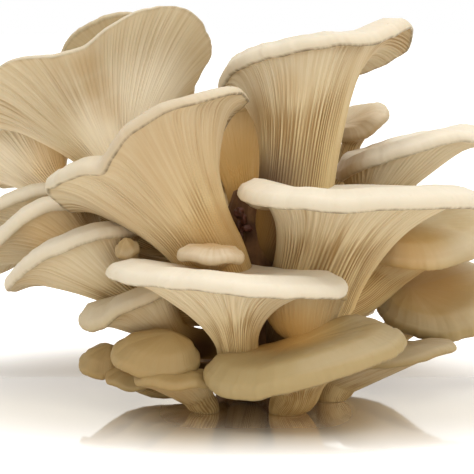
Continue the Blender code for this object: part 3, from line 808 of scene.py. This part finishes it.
def gill_tree():
    """Raises the gills from a fruit body's underside: long ones, and short ones near the margin."""
    tree = bpy.data.node_groups.new("raise_gills", "GeometryNodeTree")
    face = tree.interface
    face.new_socket("Geometry", in_out="INPUT", socket_type="NodeSocketGeometry")
    face.new_socket("Long gills", in_out="INPUT", socket_type="NodeSocketInt")
    face.new_socket("Depth", in_out="INPUT", socket_type="NodeSocketFloat")
    face.new_socket("Unevenness", in_out="INPUT", socket_type="NodeSocketFloat")
    face.new_socket("Seed", in_out="INPUT", socket_type="NodeSocketFloat")
    face.new_socket("Flesh", in_out="INPUT", socket_type="NodeSocketMaterial")
    face.new_socket("Geometry", in_out="OUTPUT", socket_type="NodeSocketGeometry")
    graph = Graph(tree)
    entry = tree.nodes.new("NodeGroupInput")
    given = {socket.name: Value(graph, socket) for socket in entry.outputs if socket.name}

    def kept(name):
        return graph.node("GeometryNodeInputNamedAttribute", {"data_type": "FLOAT"}, name)

    def noise(place, w):
        return graph.node("ShaderNodeTexNoise", {"noise_dimensions": "4D"}, Vector=place, W=w, Scale=1.0)

    turn = kept("turn") * given["Long gills"]
    along = kept("along")
    place = graph.node("ShaderNodeCombineXYZ", None, along * 1.5)
    uneven = noise(place, turn * 0.31 + given["Seed"])
    uneven = 1 - given["Unevenness"] * uneven.smooth(0.3, 0.7)
    round_turn = kept("turn") * FULL_TURN
    x, y = round_turn.cosine() * 1.5, round_turn.sine() * 1.5
    marked = noise(graph.node("ShaderNodeCombineXYZ", None, x, y, along), given["Seed"])
    marked = marked.smooth(0.34, 0.56) * 0.8 + 0.2
    long_gill = ((turn * FULL_TURN).cosine() * 0.5 + 0.5) ** 0.9 * uneven
    short_gill = ((turn * FULL_TURN).cosine() * -0.5 + 0.5) ** 0.9 * along.smooth(0.25, 0.6) * 0.85
    crest = (long_gill.larger(short_gill) - 0.7) * marked + 0.7
    fine_space = kept("space") * (1 - 0.45 * along.smooth(0.25, 0.6))
    lift = (crest - 0.6) * kept("relief") * fine_space * given["Depth"]
    normal = graph.node("GeometryNodeInputNormal")
    offset = graph.node("ShaderNodeVectorMath", {"operation": "SCALE"}, normal, Scale=lift)
    stored = graph.node(
        "GeometryNodeStoreNamedAttribute", {"data_type": "FLOAT", "domain": "POINT"},
        Geometry=given["Geometry"], Name="crest", Value=crest,
    )
    moved = graph.node("GeometryNodeSetPosition", None, Geometry=stored, Offset=offset)
    real = graph.node("GeometryNodeRealizeInstances", None, Geometry=moved)
    done = graph.node("GeometryNodeSetMaterial", None, Geometry=real, Material=given["Flesh"])
    leave = tree.nodes.new("NodeGroupOutput")
    tree.links.new(done.socket, leave.inputs["Geometry"])
    return tree


def with_tree(piece, tree, **inputs):
    """The piece with a Geometry Nodes tree worked into its mesh."""
    modifier = piece.modifiers.new(tree.name, "NODES")
    modifier.node_group = tree
    sockets = {item.name: item.identifier for item in tree.interface.items_tree if item.in_out == "INPUT"}
    for name, value in inputs.items():
        modifier[sockets[name.replace("_", " ")]] = value
    bpy.context.view_layer.update()
    mesh = bpy.data.meshes.new_from_object(piece.evaluated_get(bpy.context.evaluated_depsgraph_get()))
    piece.modifiers.remove(modifier)
    old = piece.data
    piece.data = mesh
    bpy.data.meshes.remove(old)
    mesh.name = piece.name


def new_material(name):
    material = bpy.data.materials.new(name)
    material.use_nodes = True
    graph = Graph(material.node_tree)
    return material, graph, material.node_tree.nodes["Principled BSDF"]


def flesh_material():
    """Mushroom flesh: pale gill edges over painted shade between them, a dried margin line, fibrous cap
    skin, and painted shade, painted light and painted glows at given spots.
    """
    if "oyster_flesh" in bpy.data.materials:
        return bpy.data.materials["oyster_flesh"]
    p = look()
    material, graph, shader = new_material("oyster_flesh")
    place = graph.node("ShaderNodeTexCoord", output="Object")
    crest, along, skin = graph.attribute("crest"), graph.attribute("along"), graph.attribute("skin")
    edge, tan = graph.attribute("edge"), graph.attribute("tan")
    map_uv = graph.node("ShaderNodeUVMap", {"uv_map": "around_and_along"})
    u = graph.node("ShaderNodeSeparateXYZ", None, map_uv, output="X")
    ray = graph.node(
        "ShaderNodeCombineXYZ", None, (u * FULL_TURN).cosine() * 9, (u * FULL_TURN).sine() * 9, along * 0.6
    )
    streaks = graph.noise(ray, 2.2, 5.0, 0.6)
    blotches = graph.noise(place, 55.0, 4.0, 0.55)
    broad = graph.noise(place, 17.0, 2.0)
    speckle = graph.noise(place, 420.0, 3.0)

    # Gills: pale edges over painted shade between them, in random warm patches; painted shade makes the
    # stems browner towards their feet and dark inside the cluster.
    low = along.smooth(0.75, -0.1)
    stem = graph.mix(low * 0.85, p.crest_colour, p.stem_shade_colour)
    # Painted shade as well as tone: the gills of tan, shadowed mushrooms are darker too.
    toned_crest = graph.mix(tan * 0.6, stem, p.tan_and_shade_colour)
    patchy = (streaks * 1.1 + broad * 0.9).smooth(0.75, 1.25)
    depth = (crest + 0.3 * (1 - patchy)).smooth(0.1, 0.75)
    # Painted shade: dark colour between the gills, pale colour on their edges.
    gills = graph.mix(depth, p.gill_gap_shade_colour, toned_crest)
    gills = graph.mix(patchy * 0.35 * along.smooth(-0.5, 0.3), gills, p.patch_and_shade_colour)
    x, y, z = (graph.node("ShaderNodeSeparateXYZ", None, place, output=axis) for axis in "XYZ")
    # Painted shade: stems near the middle of the cluster are darkened towards their feet.
    inside = (x * x + (y - 0.004) * (y - 0.004)).smooth(0.0012, 0.0003)
    gills = graph.mix(inside * along.smooth(0.3, 0.0) * 0.85, gills, p.stain_and_crevice_shade_colour)

    # Cap skin: from pale to tan, partly the caps' own tone and partly painted shade on caps that lie in
    # shadow, with painted shade near the floor and along the rolled margin.
    inward = along.smooth(0.95, 1.3)
    uneven = (blotches - 0.5) * 0.6 + (streaks - 0.5) * 0.6 * (1 - tan)
    tone = tan * (0.85 + 0.25 * inward) + uneven * inward
    # Painted shade: the skin is darker near the floor and on the rolled margin.
    tone = tone + 0.4 * z.smooth(0.045, 0.005) + 0.3 * along.smooth(1.06, 1.0)
    cap = graph.mix(tone.larger(0.0), p.skin_colour, p.tan_and_shade_colour)
    cap = graph.mix(speckle.smooth(0.55, 0.8) * 0.08, cap, p.tan_and_shade_colour)
    whole = graph.mix(skin.smooth(0.45, 0.55), gills, cap)

    # Painted shade in nooks and gaps, painted light and painted glows on flesh where light falls or comes
    # through, and the margin line, over gills and skin.
    damp, thin = graph.nearness(place, PAINTED_SHADE_SPOTS), graph.nearness(place, PAINTED_LIGHT_SPOTS)
    # Painted light: the flesh is paler where light falls on thin flesh.
    whole = graph.mix(thin * 0.7, whole, p.skin_colour)
    # Painted shade in the nooks, strongest on the gills' edges.
    whole = graph.mix(damp * (0.6 + 0.4 * crest), whole, p.patch_and_shade_colour)
    line = edge * (0.6 + streaks).smooth(0.8, 1.3)
    whole = graph.mix(line, whole, p.edge_colour)
    # Painted glows: warm in the painted-shade nooks, pale where light falls on thin flesh, orange where
    # light comes through.
    glow = graph.mix(damp, NO_GLOW, SHADE_BOUNCE_GLOW)
    glow = graph.mix(thin, glow, PAINTED_LIGHT_GLOW, "ADD")
    # Painted light: an orange glow where light comes through the flesh from behind.
    glow = graph.mix(graph.nearness(place, LIT_THROUGH), glow, LIT_GLOW, "ADD")
    # Painted shade: very dark between the feet, with no glow.
    gap_shade = graph.nearness(place, PAINTED_GAP_SHADE)
    whole = graph.mix(gap_shade, whole, p.stain_and_crevice_shade_colour)
    glow = graph.mix(gap_shade, glow, NO_GLOW)
    graph.plug(shader.inputs["Emission Color"], glow)
    shader.inputs["Emission Strength"].default_value = 1.0
    graph.plug(shader.inputs["Base Color"], whole)
    graph.plug(shader.inputs["Roughness"], 0.5 + 0.25 * blotches)
    height = speckle * 0.4 + streaks * 0.6
    bump = graph.node("ShaderNodeBump", None, Strength=0.35, Distance=0.0004, Height=height)
    graph.plug(shader.inputs["Normal"], bump)
    shader.inputs["Subsurface Weight"].default_value = 0.18
    shader.inputs["Subsurface Radius"].default_value = (1.0, 0.55, 0.3)
    shader.inputs["Subsurface Scale"].default_value = 0.002
    return material


def base_material():
    """The shared base: fibrous, with dark stains."""
    p = look()
    material, graph, shader = new_material("oyster_base")
    place = graph.node("ShaderNodeTexCoord", output="Object")
    blotches = graph.noise(place, 70.0, 5.0)
    fibres = graph.node("ShaderNodeMapping", None, place, Scale=(300.0, 300.0, 30.0))
    fibres = graph.noise(fibres, 1.0, 4.0)
    colour = graph.mix(blotches.smooth(0.35, 0.7), p.base_colour, p.stain_and_crevice_shade_colour)
    colour = graph.mix(fibres.smooth(0.5, 0.8) * 0.4, colour, p.patch_and_shade_colour)
    graph.plug(shader.inputs["Base Color"], colour)
    graph.plug(shader.inputs["Roughness"], 0.7 + 0.2 * fibres)
    bump = graph.node("ShaderNodeBump", None, Strength=0.6, Distance=0.001, Height=fibres + blotches)
    graph.plug(shader.inputs["Normal"], bump)
    return material


def dried_material():
    """Buds that dried before they opened: dark, wrinkled and reddish."""
    p = look()
    material, graph, shader = new_material("oyster_dried")
    place = graph.node("ShaderNodeTexCoord", output="Object")
    blotches = graph.noise(place, 500.0, 4.0)
    colour = graph.mix(blotches.smooth(0.35, 0.65), p.stain_and_crevice_shade_colour, p.dried_colour)
    graph.plug(shader.inputs["Base Color"], colour)
    graph.plug(shader.inputs["Roughness"], 0.4 + 0.3 * blotches)
    bump = graph.node("ShaderNodeBump", None, Strength=0.5, Distance=0.0004, Height=blotches)
    graph.plug(shader.inputs["Normal"], bump)
    return material


def new_object(name, data):
    made = bpy.data.objects.new(name, data)
    bpy.context.scene.collection.objects.link(made)
    return made


def dressed(piece, node):
    """The piece stands for its solid, which it hides, and joins the body root."""
    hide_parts(node)
    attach(piece, "root")


def grow(*starts):
    """Makes the mushrooms whose names start with one of these words."""
    p = look()
    tree = bpy.data.node_groups.get("raise_gills") or gill_tree()
    flesh = flesh_material()
    for m in CLUSTER:
        if not m.name.startswith(starts):
            continue
        piece = new_object("oyster_" + m.name, mushroom_mesh(m))
        with_tree(
            piece, tree, Long_gills=round(p.gills * fineness(m)[5]), Depth=p.gill_depth,
            Unevenness=p.gill_unevenness, Seed=float(len(m.name)), Flesh=flesh,
        )
        dressed(piece, m.name)


class MUSHROOM_OT_tall(bpy.types.Operator):
    """Funnel mushrooms that stand up at the top of the cluster"""

    bl_idname = "mushroom.tall"
    bl_label = "Standing funnels"

    def execute(self, context):
        grow("trumpet", "crown")
        return {"FINISHED"}


class MUSHROOM_OT_shelves(bpy.types.Operator):
    """Wide shelf mushrooms at the front, and the small one on top of them"""

    bl_idname = "mushroom.shelves"
    bl_label = "Front shelves"

    def execute(self, context):
        grow("shelf")
        return {"FINISHED"}


class MUSHROOM_OT_fans(bpy.types.Operator):
    """Fan mushrooms behind each other at both sides"""

    bl_idname = "mushroom.fans"
    bl_label = "Side fans"

    def execute(self, context):
        grow("fan", "petal")
        return {"FINISHED"}


class MUSHROOM_OT_small(bpy.types.Operator):
    """Shells, buttons and buds between the large ones, and those whose feet reach the floor"""

    bl_idname = "mushroom.small"
    bl_label = "Shells, buttons and buds"

    def execute(self, context):
        grow("shell", "button", "bud", "foot")
        return {"FINISHED"}


class MUSHROOM_OT_back(bpy.types.Operator):
    """Mushrooms on the back of the cluster"""

    bl_idname = "mushroom.back"
    bl_label = "Back of the cluster"

    def execute(self, context):
        grow("back")
        return {"FINISHED"}


class MUSHROOM_OT_base(bpy.types.Operator):
    """The shared base that every stem grows from"""

    bl_idname = "mushroom.base"
    bl_label = "Shared base"

    def execute(self, context):
        sides, rows = BASE_FINE
        angles = np.arange(sides) * FULL_TURN / sides
        heights = [section[0] for section in BASE_SECTIONS]
        rings = []
        for height in np.linspace(0, heights[-1], rows):
            radius = np.interp(height, heights, [section[1] for section in BASE_SECTIONS]) - 0.3
            x, y = (np.interp(height, heights, [section[2][i] for section in BASE_SECTIONS]) for i in (0, 1))
            swell = 1 + sum(size * np.sin(count * angles + phase) for count, size, phase in BASE_LUMPS)
            fibres = 0.35 * waves(angles + height * 0.004, range(20, 60, 6), 3)
            reach = radius * swell + fibres
            x, y = x + reach * np.cos(angles), y + reach * np.sin(angles)
            rings.append(np.stack([x, y, np.full(sides, height)], 1))
        ends = rings[0].mean(axis=0), rings[-1].mean(axis=0) + np.array([0, 0, 3.5])
        mesh = ring_mesh("oyster_base", rings, ends, {"along": np.linspace(-1, 0, rows)})
        mesh.materials.append(base_material())
        dressed(new_object("oyster_base", mesh), "cluster_base")
        return {"FINISHED"}


class MUSHROOM_OT_dried(bpy.types.Operator):
    """Dried buds on the base, seen between the standing funnels"""

    bl_idname = "mushroom.dried"
    bl_label = "Dried buds"

    def execute(self, context):
        form = bmesh.new()
        for i, (middle, size) in enumerate(DRIED_BUDS):
            made = bmesh.ops.create_icosphere(form, subdivisions=4, radius=MM)
            for vertex in made["verts"]:
                x, y, z = vertex.co / MM
                crease = 1 + 0.12 * math.sin(4 * math.atan2(y, x) + 2 * z + i)
                crease += 0.05 * math.sin(9 * z + 3 * x)
                moved = [at + s * crease * v for at, s, v in zip(middle, size, (x, y, z))]
                vertex.co = Vector(moved) * MM
        mesh = bpy.data.meshes.new("oyster_dried_buds")
        form.to_mesh(mesh)
        form.free()
        mesh.shade_smooth()
        mesh.materials.append(dried_material())
        piece = new_object("oyster_dried_buds", mesh)
        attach(piece, "root")
        return {"FINISHED"}


class MUSHROOM_OT_stage(bpy.types.Operator):
    """Pale glossy floor, soft light and the camera at the photo's angle"""

    bl_idname = "mushroom.stage"
    bl_label = "Floor, light and camera"

    def execute(self, context):
        self.lay_floor()
        self.light()
        self.place_camera()
        return {"FINISHED"}

    def lay_floor(self):
        p = look()
        mesh = bpy.data.meshes.new("studio_floor")
        mesh.from_pydata([(-4, -3, 0), (4, -3, 0), (4, 9, 0), (-4, 9, 0)], [], [(0, 1, 2, 3)])
        material, graph, shader = new_material("studio_floor")
        place = graph.node("ShaderNodeTexCoord", output="Object")
        faint = graph.noise(place, 30.0, 2.0)
        x, y = (graph.node("ShaderNodeSeparateXYZ", None, place, output=axis) for axis in "XY")
        away = (x * x + 2.5 * y * y).smooth(0.009, 0.04)
        beside = (x * x).smooth(0.0004, 0.0025)
        mirror = y.smooth(-0.115, -0.035) * y.smooth(0.05, -0.03) * (1 - away) * (1 - 0.5 * beside)
        # Painted shade: the floor near the feet takes the darker, warmer tint.
        graph.plug(shader.inputs["Base Color"], graph.mix(mirror, p.floor_colour, p.mirror_shade_colour))
        graph.plug(shader.inputs["Roughness"], 0.55 - 0.5 * mirror.smooth(0.0, 0.2) + 0.03 * faint)
        graph.plug(shader.inputs["Metallic"], 0.8 * mirror)
        graph.plug(shader.inputs["Emission Color"], graph.mix(away, NO_GLOW, (0.5, 0.5, 0.5, 1)))
        shader.inputs["Emission Strength"].default_value = 1.0
        mesh.materials.append(material)
        floor = new_object("studio_floor", mesh)
        floor.location.z = FLOOR_HEIGHT

    def light(self):
        world = bpy.data.worlds.new("white_studio")
        world.use_nodes = True
        world.node_tree.nodes["Background"].inputs["Color"].default_value = (1, 1, 1, 1)
        studio = Graph(world.node_tree)
        shading = studio.node("ShaderNodeLightPath", output="Is Diffuse Ray")
        studio.plug(world.node_tree.nodes["Background"].inputs["Strength"], 1 - 0.3 * shading)
        bpy.context.scene.world = world
        bpy.context.scene.view_settings.view_transform = "Standard"
        for name, spot, watts, size in LAMPS:
            lamp = bpy.data.lights.new(name, "AREA")
            lamp.energy = watts
            lamp.size = size
            light = new_object(name, lamp)
            light.location = spot
            light.rotation_euler = (Vector(LAMPS_AIM) - Vector(spot)).to_track_quat("-Z", "Y").to_euler()

    def place_camera(self):
        p = look()
        lens = bpy.data.cameras.new("photo_camera")
        lens.sensor_width = CAMERA_SENSOR
        lens.lens = CAMERA_LENS
        lens.clip_start = 0.01
        camera = new_object("photo_camera", lens)
        away = Vector((0, -math.cos(CAMERA_RISE), math.sin(CAMERA_RISE)))
        camera.location = Vector(CAMERA_AIM) + away * p.camera_distance
        camera.rotation_euler = (math.radians(90) - CAMERA_RISE, 0, 0)
        bpy.context.scene.camera = camera


class MUSHROOM_PT_cluster(bpy.types.Panel):
    """Lists the cluster's pieces and its sizes and colours"""

    bl_label = "Oyster mushroom cluster"
    bl_idname = "MUSHROOM_PT_cluster"
    bl_space_type = "VIEW_3D"
    bl_region_type = "UI"
    bl_category = "Mushrooms"

    def draw(self, context):
        for operator in OPERATORS:
            self.layout.operator(operator.bl_idname)
        for name in ClusterLook.__annotations__:
            self.layout.prop(context.scene.mushroom_look, name)


OPERATORS = (
    MUSHROOM_OT_base,
    MUSHROOM_OT_dried,
    MUSHROOM_OT_tall,
    MUSHROOM_OT_shelves,
    MUSHROOM_OT_fans,
    MUSHROOM_OT_small,
    MUSHROOM_OT_back,
    MUSHROOM_OT_stage,
)


def register():
    for item in (ClusterLook,) + OPERATORS + (MUSHROOM_PT_cluster,):
        bpy.utils.register_class(item)
    bpy.types.Scene.mushroom_look = PointerProperty(type=ClusterLook)


def unregister():
    del bpy.types.Scene.mushroom_look
    for item in (MUSHROOM_PT_cluster,) + OPERATORS[::-1] + (ClusterLook,):
        bpy.utils.unregister_class(item)


def main():
    register()
    bpy.ops.mushroom.base()
    bpy.ops.mushroom.dried()
    bpy.ops.mushroom.tall()
    bpy.ops.mushroom.shelves()
    bpy.ops.mushroom.fans()
    bpy.ops.mushroom.small()
    bpy.ops.mushroom.back()
    bpy.ops.mushroom.stage()


if __name__ == "__main__":
    main()
